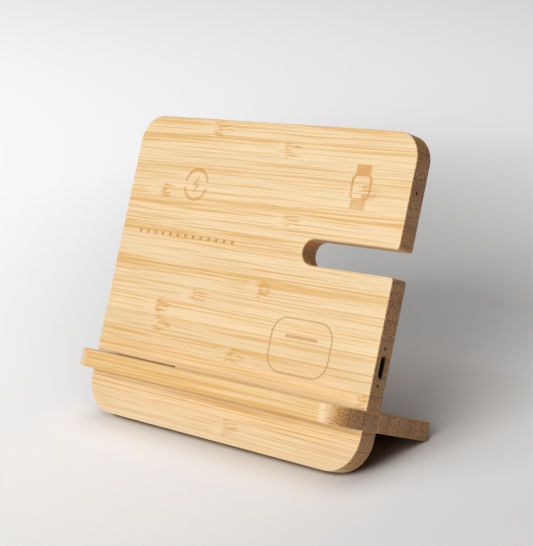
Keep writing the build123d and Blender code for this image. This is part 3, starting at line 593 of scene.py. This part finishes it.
def winding_tree():
    """A spiral of round wire between a bore and a rim."""
    tree, given, outcome = build_tree(
        "flat winding", {"Bore": "Float", "Rim": "Float", "Wire Radius": "Float", "Turns": "Float",
                         "Centre": "Vector", "Finish": "Material"})
    spiral = step(tree, "GeometryNodeCurveSpiral", "Curve", Resolution=56, Rotations=given["Turns"],
                  Start_Radius=plus(tree, given["Bore"], given["Wire Radius"]),
                  End_Radius=minus(tree, given["Rim"], given["Wire Radius"]), Height=0.0)
    spiral = step(tree, "GeometryNodeSetPosition", "Geometry", Geometry=spiral, Offset=given["Centre"])
    section = step(tree, "GeometryNodeCurvePrimitiveCircle", "Curve", Resolution=10,
                   Radius=given["Wire Radius"])
    wire = step(tree, "GeometryNodeCurveToMesh", "Mesh", Curve=spiral, Profile_Curve=section, Fill_Caps=True)
    end_tree(tree, wire, given["Finish"], outcome)
    return tree


def litz_twist():
    """Strands twisted together along a spiral of wire: 1 on a strand, 0 between two."""
    tree, given, result = new_group(
        "litz twist", {"Place": "Vector", "Centre": "Vector", "Bore": "Float", "Pitch": "Float"},
        {"Strand": "Float"})
    way = put(tree, "VectorMath", given["Place"], given["Centre"], operation="SUBTRACT").outputs[0]
    x, y = split(tree, way)[:2]
    flat_way = put(tree, "CombineXYZ", x, y).outputs[0]
    radius = put(tree, "VectorMath", flat_way, operation="LENGTH").outputs["Value"]
    angle = maths(tree, "ARCTAN2", y, x)
    outwards = maths(tree, "DIVIDE", minus(tree, radius, given["Bore"]), given["Pitch"])
    turn = minus(tree, outwards, maths(tree, "DIVIDE", angle, math.tau))
    around = times(tree, maths(tree, "FRACT", turn), 1.2 * math.tau)
    twist = plus(tree, times(tree, angle, radius, math.tau / STRAND_LAY), around)
    feed(tree, result, Strand=rise(tree, maths(tree, "SINE", twist), -0.9, 0.5))
    return tree


WINDING = winding_tree()
LITZ = litz_twist()
for node_name, ((x, y), bore, rim) in windings.items():
    pitch = 2 * WIRE_RADIUS + WIRE_GAP
    litz_copper, tree, shader = new_material(node_name.replace("_", " ") + " copper")
    place = flat_place(tree)
    strand = place_group(tree, LITZ, Place=place, Centre=(x, y, 0.0), Bore=bore, Pitch=pitch)["Strand"]
    dull = between(tree, noise(tree, place, 700.0, 2.0), 0.22, 0.47)
    feed(tree, shader, Base_Color=mix(tree, COPPER_SHADE, COPPER, strand), Roughness=dull, Metallic=0.9)
    bump(tree, shader, strand, 0.5, 0.00006)
    grow(node_name + "_winding", WINDING, [], node_name, "copper_winding", Bore=bore, Rim=rim,
         Wire_Radius=WIRE_RADIUS, Turns=(rim - bore - 2 * WIRE_RADIUS) / pitch,
         Centre=(x, y, -WINDING_DEPTH), Finish=litz_copper)

# Adhesive pads
# Discs of amber film, die-cut with glue on both sides. One holds each winding to the inside of
# the front wall.


def mottle():
    """Two sizes of soft variation, both around a half, for films, mouldings and metals."""
    tree, given, result = new_group(
        "mottle", {"Place": "Vector", "Patches": "Float", "Grit": "Float"},
        {"Patch": "Float", "Grain": "Float"})
    feed(tree, result, Patch=noise(tree, given["Place"], given["Patches"], 2.0),
         Grain=noise(tree, given["Place"], given["Grit"], 2.0, 0.6))
    return tree


def roughen(tree, shader, look, smoothest, roughest):
    """Roughness that follows the grit of the mottle."""
    rough = put(tree, "MapRange", look["Grain"], 0.3, 0.7, smoothest, roughest).outputs[0]
    feed(tree, shader, Roughness=rough)


def mottled(name, dark, light, patches, grit, rough, bumps=0.0, metallic=0.0, squeeze=(1.0, 1.0, 1.0)):
    """A finish that varies softly between two colours and two roughnesses; squeeze draws it out."""
    material, tree, shader = new_material(name)
    place = put(tree, "VectorMath", flat_place(tree), squeeze, operation="MULTIPLY").outputs[0]
    look = place_group(tree, MOTTLE, Place=place, Patches=patches, Grit=grit)
    share = rise(tree, plus(tree, look["Patch"], times(tree, look["Grain"], 0.6)), 0.5, 1.1)
    feed(tree, shader, Base_Color=mix(tree, dark, light, share), Metallic=metallic)
    roughen(tree, shader, look, *rough)
    if bumps:
        bump(tree, shader, look["Grain"], bumps, 0.00005)
    return material


MOTTLE = mottle()
amber_film = mottled("amber film", tone(190, 120, 34), tone(216, 152, 60), patches=160, grit=1800,
                     rough=(0.2, 0.38), bumps=0.1)
for node_name in ("phone_coil_pad", "earbud_coil_pad", "watch_coil_pad"):
    dress(node_name, amber_film)

# Ferrite shields
# Thin sintered discs glued behind the windings, dark grey and brittle, with a faint sparkle. They
# keep the windings' field off the electronics.
ferrite = mottled("ferrite", tone(50, 48, 50), tone(78, 76, 80), patches=240, grit=5200,
                  rough=(0.42, 0.7), bumps=0.3)
for node_name in ("phone_coil_shield", "earbud_coil_shield", "watch_coil_shield"):
    dress(node_name, ferrite)

# Watch magnet
# A sintered disc, nickel plated against rust, glued into the middle of the watch winding. It
# holds the watch in place.
nickel = mottled("nickel plate", tone(186, 180, 170), tone(214, 209, 200), patches=300, grit=2600,
                 rough=(0.16, 0.32), bumps=0.08, metallic=1.0)
dress("watch_magnet", nickel)

# Driver board, inlet board and lamp board
# Green glass-fibre circuit boards with etched copper tracks under the lacquer and bare laminate
# at their sawn edges. Small screws hold the two larger ones.


def tracks_along(tree, place, scale, gap, length, pitch, offset):
    """Copper tracks side by side, as the joints of a pattern of long bricks."""
    bricks = put(tree, "TexBrick", place, offset=offset)
    feed(tree, bricks, Scale=scale, Mortar_Size=gap, Mortar_Smooth=0.1, Bias=0.0, Brick_Width=length,
         Row_Height=pitch)
    return bricks.outputs["Fac"]


QUARTER_TURN = math.radians(90)
solder_mask, tree, shader = new_material("solder mask")
place = flat_place(tree)
turned_place = put(tree, "Mapping", place, (0.0, 0.0, 0.0), (0.0, 0.0, QUARTER_TURN)).outputs[0]
look = place_group(tree, MOTTLE, Place=place, Patches=420.0, Grit=3800.0)
wide = tracks_along(tree, place, scale=130.0, gap=0.03, length=0.9, pitch=0.14, offset=0.37)
tall = tracks_along(tree, turned_place, scale=110.0, gap=0.025, length=1.3, pitch=0.21, offset=0.29)
tracks = times(tree, maths(tree, "MAXIMUM", wide, tall), 0.8)
lacquer = mix(tree, tone(14, 78, 44), tone(24, 94, 54), look["Patch"])
lacquer = mix(tree, lacquer, tone(66, 138, 82), tracks)
laminate = mix(tree, tone(150, 146, 88), tone(182, 176, 116), look["Grain"])
flatness = rise(tree, maths(tree, "ABSOLUTE", split(tree, flat_facing(tree))[2]), 0.5, 0.9)
feed(tree, shader, Base_Color=mix(tree, laminate, lacquer, flatness))
roughen(tree, shader, look, 0.24, 0.42)
bump(tree, shader, tracks, 0.4, 0.00003)
for node_name in ("driver_board", "inlet_board", "lamp_board"):
    dress(node_name, solder_mask)

# Chips
# Black moulded packages soldered flat to the driver board: three drivers and, larger, the control
# chip, each with tinned pads along its four sides.
BOARD_BACK_DEPTH = 0.005
CHIP_HEIGHT = 0.0009
CHIP_CORNER = 0.00012
DRIVER_CHIP_WIDTH = 0.0046
CONTROL_CHIP_WIDTH = 0.007
driver_chip_places = [(-0.00215, 0.04894), (-0.00215, 0.06614), (-0.00215, 0.07474)]
control_chip_place = (0.00435, 0.05754)


def part_tree():
    """Sets a part at every point, face to the back, each turned about its axis by chance."""
    tree, given, outcome = build_tree(
        "set parts", {"Part": "Object", "Most Turn": "Float", "Seed": "Int", "Finish": "Material"})
    shape = step(tree, "GeometryNodeObjectInfo", "Geometry", Object=given["Part"])
    turn = tree.nodes.new("FunctionNodeRandomValue")
    turn.data_type = "FLOAT"
    tree.links.new(given["Most Turn"], turn.inputs[3])
    tree.links.new(given["Seed"], turn.inputs["Seed"])
    turns = put(tree, "CombineXYZ", math.pi, None, turn.outputs[1]).outputs[0]
    placed = step(tree, "GeometryNodeInstanceOnPoints", "Instances", Points=given["Geometry"], Instance=shape,
                  Rotation=turns)
    end_tree(tree, placed, given["Finish"], outcome)
    return tree


def set_parts(name, part, places, node_name, slot, finish, most_turn=0.0, seed=1, depth=BOARD_BACK_DEPTH):
    """Repeats one part's mesh at places on the back of the board, at the given depth."""
    sample = bpy.data.objects.new(name + "_sample", part)
    bpy.context.scene.collection.objects.link(sample)
    points = [(x, y, -depth) for x, y in places]
    piece = grow(name, SET_PARTS, points, node_name, slot, Part=sample, Most_Turn=most_turn, Seed=seed,
                 Finish=finish)
    bpy.data.objects.remove(sample)
    return piece


def kept_mesh(name, form):
    mesh = bpy.data.meshes.new(name)
    form.to_mesh(mesh)
    form.free()
    return mesh


def block(name, width, length, height, corner, lift=0.0):
    """A moulded block with softened edges that stands on its underside."""
    form = bmesh.new()
    bmesh.ops.create_cube(form, size=1.0)
    bmesh.ops.scale(form, vec=(width, length, height), verts=form.verts)
    bmesh.ops.translate(form, vec=(0, 0, height / 2 + lift), verts=form.verts)
    bmesh.ops.bevel(form, geom=form.edges[:], offset=corner, segments=2, profile=0.5, affect="EDGES")
    return kept_mesh(name, form)


def pad_places(centres, width, count, pitch):
    """Where the pads along the four sides of square packages are."""
    reach = width / 2 - 0.0001
    row = [(i - (count - 1) / 2) * pitch for i in range(count)]
    sides = [(t, s * reach) for t in row for s in (-1, 1)] + [(s * reach, t) for t in row for s in (-1, 1)]
    return [(x + dx, y + dy) for x, y in centres for dx, dy in sides]


SET_PARTS = part_tree()
epoxy = mottled("black epoxy", tone(34, 34, 36), tone(50, 50, 53), patches=500, grit=7000,
                rough=(0.5, 0.72), bumps=0.35)
tin = mottled("tinned copper", tone(176, 176, 174), tone(212, 212, 208), patches=900, grit=6000,
              rough=(0.26, 0.44), bumps=0.15, metallic=1.0)
chip_pad = block("chip_pad", 0.00030, 0.00030, 0.00022, corner=0.00003)
driver_chip = block("driver_chip", DRIVER_CHIP_WIDTH, DRIVER_CHIP_WIDTH, CHIP_HEIGHT, CHIP_CORNER)
driver_pads = pad_places(driver_chip_places, DRIVER_CHIP_WIDTH, count=6, pitch=0.00065)
set_parts("driver_chip_bodies", driver_chip, driver_chip_places, "driver_chips", "chip_body", epoxy)
set_parts("driver_chip_pads", chip_pad, driver_pads, "driver_chips", "inlet_steel", tin)
control_chip = block("control_chip", CONTROL_CHIP_WIDTH, CONTROL_CHIP_WIDTH, CHIP_HEIGHT, CHIP_CORNER)
control_pads = pad_places([control_chip_place], CONTROL_CHIP_WIDTH, count=12, pitch=0.0005)
set_parts("control_chip_body", control_chip, [control_chip_place], "control_chip", "chip_body", epoxy)
set_parts("control_chip_pads", chip_pad, control_pads, "control_chip", "inlet_steel", tin)

# Power inductors
# Square shells of fired grey ferrite, soldered to the driver board, round a wound drum whose top
# shows as a disc inside a groove.
INDUCTOR_WIDTH = 0.006
INDUCTOR_HEIGHT = 0.0019
INDUCTOR_CORNER = 0.00045
inductor_places = [(0.00435, 0.04894), (0.00435, 0.06614), (0.00435, 0.07474)]
well_profile = [(0.0026, 0.0025), (0.0026, 0.0012)]
drum_profile = [(0.0020, 0.0019), (0.00225, 0.00182), (0.00225, 0.0011)]


def circle(radii, height):
    """Corners in a ring round the axis, one for each radius."""
    turns = [math.tau * i / len(radii) for i in range(len(radii))]
    return [(radius * math.cos(turn), radius * math.sin(turn), height) for radius, turn in zip(radii, turns)]


def closed_shape(name, rings):
    """A skin over rings of corners from the top one to the foot, closed at both."""
    form = bmesh.new()
    rings = [[form.verts.new(corner) for corner in ring] for ring in rings]
    for upper, lower in zip(rings, rings[1:]):
        for i in range(len(upper)):
            form.faces.new((upper[i - 1], lower[i - 1], lower[i], upper[i]))
    form.faces.new(rings[0])
    form.faces.new(rings[-1][::-1])
    bmesh.ops.recalc_face_normals(form, faces=form.faces)
    return kept_mesh(name, form)


def turned_shape(name, profile, segments=40):
    """A shape turned on a lathe from radius and height pairs, from its top to its foot."""
    return closed_shape(name, [circle([radius] * segments, height) for radius, height in profile])


def carved(name, blank, cutter):
    """The blank with the cutter's shape taken out of it."""
    sample = bpy.data.objects.new(name, blank)
    tool = bpy.data.objects.new(name + "_cutter", cutter)
    for item in (sample, tool):
        bpy.context.scene.collection.objects.link(item)
    cut = sample.modifiers.new("cut", "BOOLEAN")
    cut.operation = "DIFFERENCE"
    cut.solver = "EXACT"
    cut.object = tool
    mesh = bpy.data.meshes.new_from_object(sample.evaluated_get(bpy.context.evaluated_depsgraph_get()))
    mesh.name = name
    bpy.data.objects.remove(sample)
    bpy.data.objects.remove(tool)
    return mesh


shell_blank = block("inductor_shell", INDUCTOR_WIDTH, INDUCTOR_WIDTH, INDUCTOR_HEIGHT, INDUCTOR_CORNER)
shell = carved("inductor_shell", shell_blank, turned_shape("inductor_well", well_profile))
drum = turned_shape("inductor_drum", drum_profile)
grey_ferrite = mottled("inductor ferrite", tone(74, 72, 72), tone(104, 101, 100), patches=400, grit=5200,
                       rough=(0.5, 0.74), bumps=0.3)
set_parts("inductor_shells", shell, inductor_places, "power_inductors", "inductor_body", grey_ferrite)
set_parts("inductor_drums", drum, inductor_places, "power_inductors", "inductor_body", grey_ferrite)

# Resonance capacitors
# Small tan blocks of layered ceramic with tinned ends, soldered in threes beside each power
# inductor.
CAPACITOR_PITCH = 0.0024
CAPACITOR_END_REACH = 0.0013
capacitor_places = [(0.01015, y + i * CAPACITOR_PITCH) for _, y in inductor_places for i in (-1, 0, 1)]
capacitor_ends = [(x + side * CAPACITOR_END_REACH, y) for x, y in capacitor_places for side in (-1, 1)]
ceramic = mottled("capacitor ceramic", tone(150, 112, 74), tone(178, 140, 98), patches=700, grit=6000,
                  rough=(0.34, 0.5), bumps=0.15)
capacitor = block("capacitor", 0.0023, 0.00152, 0.00124, corner=0.0001, lift=0.00003)
set_parts("capacitor_blocks", capacitor, capacitor_places, "resonance_capacitors", "capacitor_body", ceramic)
capacitor_end = block("capacitor_end", 0.0006, 0.0016, 0.0013, corner=0.00012)
set_parts("capacitor_ends", capacitor_end, capacitor_ends, "resonance_capacitors", "capacitor_body", tin)

# Board screws
# Short pan head screws with a cross recess, blackened, which hold the driver board and the inlet
# board to bosses in the main board.
THREAD_ROWS = 5
THREAD_SLOPE = 3.6
POINT_LENGTH = 0.0012
POINT_WIDTH = 0.12
RECESS_NARROWING = 0.62
driver_screw_places = [(-0.00425, 0.0439), (0.01295, 0.0439), (0.00435, 0.0931)]
inlet_screw_places = [(0.0675, 0.0385), (0.0675, 0.0515)]
pan_head = [(0.0007, 0.00100), (0.00105, 0.00095), (0.00135, 0.00080), (0.00150, 0.00052), (0.00150, 0.0),
            (0.00062, 0.0)]


def threaded_screw(name, head, shank, core, tip, pitch, segments=28):
    """A screw on its own axis: the head's profile, then a shank with a rolled thread and a point."""
    rings = [circle([radius] * segments, height) for radius, height in head]
    top = head[-1][1]
    rows = int((top - tip) / pitch * THREAD_ROWS)
    for row in range(1, rows + 1):
        height = top - (top - tip) * row / rows
        taper = min(1.0, (height - tip) / POINT_LENGTH + POINT_WIDTH)
        turns = [(height / pitch + i / segments) % 1.0 for i in range(segments)]
        crests = [max(0.0, 1.0 - abs(turn - 0.5) * THREAD_SLOPE) for turn in turns]
        rings.append(circle([taper * (core + (shank - core) * crest) for crest in crests], height))
    return closed_shape(name, rings)


def cross_cutter(name, top, length, width, depth):
    """A cross that narrows downwards, for the driver's recess in a screw's head."""
    rings = []
    for height, share in ((top, 1.0), (top - depth, RECESS_NARROWING)):
        end, side = length / 2 * share, width / 2 * (0.5 + share / 2)
        arm = [(side, end), (-side, end), (-side, side)]
        ring = []
        for quarter in range(4):
            ring += [(x, y, height) for x, y in arm]
            arm = [(-y, x) for x, y in arm]
        rings.append(ring)
    return closed_shape(name, rings)


black_steel = mottled("blackened steel", tone(58, 58, 60), tone(88, 88, 90), patches=500, grit=6000,
                      rough=(0.28, 0.48), bumps=0.12, metallic=0.9)
pan_screw = threaded_screw("pan_screw", pan_head, shank=0.00074, core=0.00055, tip=-0.0034, pitch=0.00045)
pan_cross = cross_cutter("pan_cross", top=0.0011, length=0.0017, width=0.0004, depth=0.0007)
pan_screw = carved("pan_screw", pan_screw, pan_cross)
set_parts("driver_board_pan_screws", pan_screw, driver_screw_places, "driver_board_screws", "screw_steel",
          black_steel, most_turn=QUARTER_TURN, seed=4)
set_parts("inlet_board_pan_screws", pan_screw, inlet_screw_places, "inlet_board_screws", "screw_steel",
          black_steel, most_turn=QUARTER_TURN, seed=9)

# Power inlet
# A drawn steel shell plated in dark nickel, round a black moulded tongue with gold-plated
# contacts on both faces. It stands a little back from the slot in the right edge.
dark_nickel = mottled("dark nickel", tone(92, 82, 74), tone(120, 108, 98), patches=500, grit=5000,
                      rough=(0.32, 0.5), bumps=0.15, metallic=0.9, squeeze=(0.08, 1.0, 1.0))
dress("inlet_shell", dark_nickel)
black_nylon = mottled("black nylon", tone(34, 31, 29), tone(52, 48, 45), patches=700, grit=7000,
                      rough=(0.45, 0.62), bumps=0.25)
dress("inlet_tongue", black_nylon)
gold = mottled("gold plate", tone(206, 160, 74), tone(232, 190, 106), patches=900, grit=6000,
               rough=(0.2, 0.34), bumps=0.05, metallic=1.0)
dress("inlet_contacts", gold)

# Indicator lamps and light rods
# Three small side-facing lamps, each with a yellowish window in a white body, behind rods of
# smoked acrylic that carry their light to the pinholes in the right edge and look dark when off.
lamp_finish, tree, shader = new_material("lamp body")
look = place_group(tree, MOTTLE, Place=flat_place(tree), Patches=900.0, Grit=6000.0)
window = rise(tree, split(tree, flat_facing(tree))[0], 0.5, 0.9)
body_white = mix(tree, tone(228, 228, 222), tone(240, 240, 236), look["Patch"])
phosphor = mix(tree, tone(226, 206, 92), tone(240, 226, 128), look["Grain"])
feed(tree, shader, Base_Color=mix(tree, body_white, phosphor, window))
roughen(tree, shader, look, 0.3, 0.5)
dress("indicator_lamps", lamp_finish)
smoked_rod, tree, shader = new_material("smoked rod")
look = place_group(tree, MOTTLE, Place=flat_place(tree), Patches=1200.0, Grit=7000.0)
smoke = mix(tree, tone(24, 20, 18), tone(38, 32, 28), look["Patch"])
feed(tree, shader, Base_Color=smoke, Transmission_Weight=0.85, IOR=1.49)
roughen(tree, shader, look, 0.08, 0.22)
dress("light_rods", smoked_rod)

# Wires and flat cable
# Enamelled leads from the windings, two thin insulated wires to the upper lamp and a flat cable
# from the inlet board to the driver board, all pressed flat behind the cover.
enamel = mottled("lead enamel", tone(150, 74, 40), tone(196, 108, 62), patches=500, grit=3200,
                 rough=(0.25, 0.4), bumps=0.1, metallic=0.7)
for node_name in ("phone_coil_leads", "watch_coil_leads", "earbud_coil_leads"):
    dress(node_name, enamel)
insulation = mottled("wire insulation", tone(176, 40, 36), tone(198, 56, 48), patches=500, grit=3200,
                     rough=(0.38, 0.52), bumps=0.1)
dress("lamp_wires", insulation)
cable_film = mottled("cable film", tone(214, 216, 214), tone(236, 237, 234), patches=300, grit=2600,
                     rough=(0.3, 0.46), bumps=0.1, squeeze=(0.05, 1.0, 1.0))
dress("flat_cable", cable_film)

# Foam pads
# Discs die-cut from charcoal foam, behind the two larger coils. The cover presses them against the
# ferrite shields, which keeps the coils from rattling and makes their rims bulge a little.
FOAM_DEPTH = 0.0049
FOAM_THICKNESS = 0.0021
FOAM_BULGE = 0.00035
RIM_STEPS = 10

# Each pad's centre on the board, and its radius
foam_pads = {"phone": ((-0.0396, 0.1094), 0.0123), "earbud": ((0.0412, 0.0469), 0.00744)}
foam, tree, shader = new_material("foam")
place = flat_place(tree)
cells = put(tree, "TexVoronoi", place, None, 2300.0, feature="DISTANCE_TO_EDGE").outputs[0]
pore = rise(tree, cells, 0.24, 0.04)
look = place_group(tree, MOTTLE, Place=place, Patches=500.0, Grit=4000.0)
skin = mix(tree, tone(66, 67, 70), tone(84, 85, 88), look["Patch"])
feed(tree, shader, Base_Color=mix(tree, tone(40, 41, 44), skin, pore))
roughen(tree, shader, look, 0.86, 0.98)
bump(tree, shader, pore, 0.8, 0.0002)
for place_name, (middle, radius) in foam_pads.items():
    rim = []
    for share in [i / RIM_STEPS for i in range(RIM_STEPS + 1)]:
        drawn_in = FOAM_BULGE * (1 - math.sqrt(1 - (2 * share - 1) ** 2))
        rim.append((radius - drawn_in, FOAM_THICKNESS * (1 - share)))
    pad = turned_shape(place_name + "_foam", rim, 64)
    pad = set_parts(place_name + "_foam_pad", pad, [middle], "coil_foam_pads", "foam", foam, depth=FOAM_DEPTH)

# Back cover
# A thin bamboo plate cut from the same stock and set flush in the board's back, with its grain
# along the board.
COVER_STRIP_START = 0.0036
KNOT_SPREAD = 0.22


def bamboo_by_chance(tree, shader, place, facing, strip_start, seed, knot_seed, honey):
    """Puts on the grain of a plate whose knuckles lie anywhere along its strips, many of them
    beyond its ends; gives back its colour."""
    strip = strip_of(tree, split(tree, place)[1], STRIP_WIDTH, strip_start)[0]
    knot_chance = chance(tree, plus(tree, strip, knot_seed))
    grain = place_group(tree, GRAIN, Place=place, Facing=facing, Strip_Width=STRIP_WIDTH,
                        Strip_Start=strip_start, Seed=seed, Honey=honey,
                        Knot_Place=times(tree, minus(tree, knot_chance, 0.5), KNOT_SPREAD))
    feed(tree, shader, Roughness=grain["Roughness"])
    bump(tree, shader, grain["Height"], BAMBOO_BUMP)
    return grain["Colour"]


cover_bamboo, tree, shader = new_material("cover bamboo")
cover_colour = bamboo_by_chance(tree, shader, flat_place(tree), flat_facing(tree), COVER_STRIP_START,
                                seed=88.0, knot_seed=7.0, honey=0.0)
feed(tree, shader, Base_Color=cover_colour)
dress("back_cover", cover_bamboo)

# Cover screws
# Countersunk steel wood screws with a cross recess, zinc plated, driven flush through the cover
# into blind bosses in the board.
cover_screw_places = [
    (-0.074, 0.1315), (0.0, 0.1315), (0.074, 0.1315), (0.074, 0.10043), (0.074, 0.07223),
    (0.060, 0.0359), (0.0, 0.0359), (-0.074, 0.0359), (-0.074, 0.08633),
]
flat_head = [(0.00178, 0.0), (0.00190, -0.00004), (0.00194, -0.00014), (0.00190, -0.00024),
             (0.00095, -0.00120)]
zinc = mottled("zinc plate", tone(176, 177, 176), tone(210, 210, 206), patches=400, grit=5000,
               rough=(0.24, 0.46), bumps=0.15, metallic=1.0)
wood_screw = threaded_screw("wood_screw", flat_head, shank=0.00099, core=0.00070, tip=-0.006, pitch=0.0007)
wood_cross = cross_cutter("wood_cross", top=0.0001, length=0.0022, width=0.0005, depth=0.0010)
wood_screw = carved("wood_screw", wood_screw, wood_cross)
set_parts("cover_wood_screws", wood_screw, cover_screw_places, "cover_screws", "screw_steel", zinc,
          most_turn=QUARTER_TURN, seed=2, depth=BOARD_THICKNESS)

# Support board
# The crossing plate, of the same strips laid side by side from shelf to foot, so that a single
# strip makes its front edge and the sawn ends show as a row of squares.
SUPPORT_STRIP_START = 0.0005
support_bamboo, tree, shader = new_material("support bamboo")
place = flat_place(tree, QUARTER_TURN)
facing = flat_facing(tree, QUARTER_TURN)
support_colour = bamboo_by_chance(tree, shader, place, facing, SUPPORT_STRIP_START, seed=41.0,
                                  knot_seed=57.0, honey=0.95)
# Away from its sawn ends it is a little more golden than the main board
long_grain = rise(tree, maths(tree, "ABSOLUTE", split(tree, facing)[0]), 0.3, 0.05)
feed(tree, shader, Base_Color=mix(tree, support_colour, STREAK, long_grain, 0.22))
dress("support_board", support_bamboo)
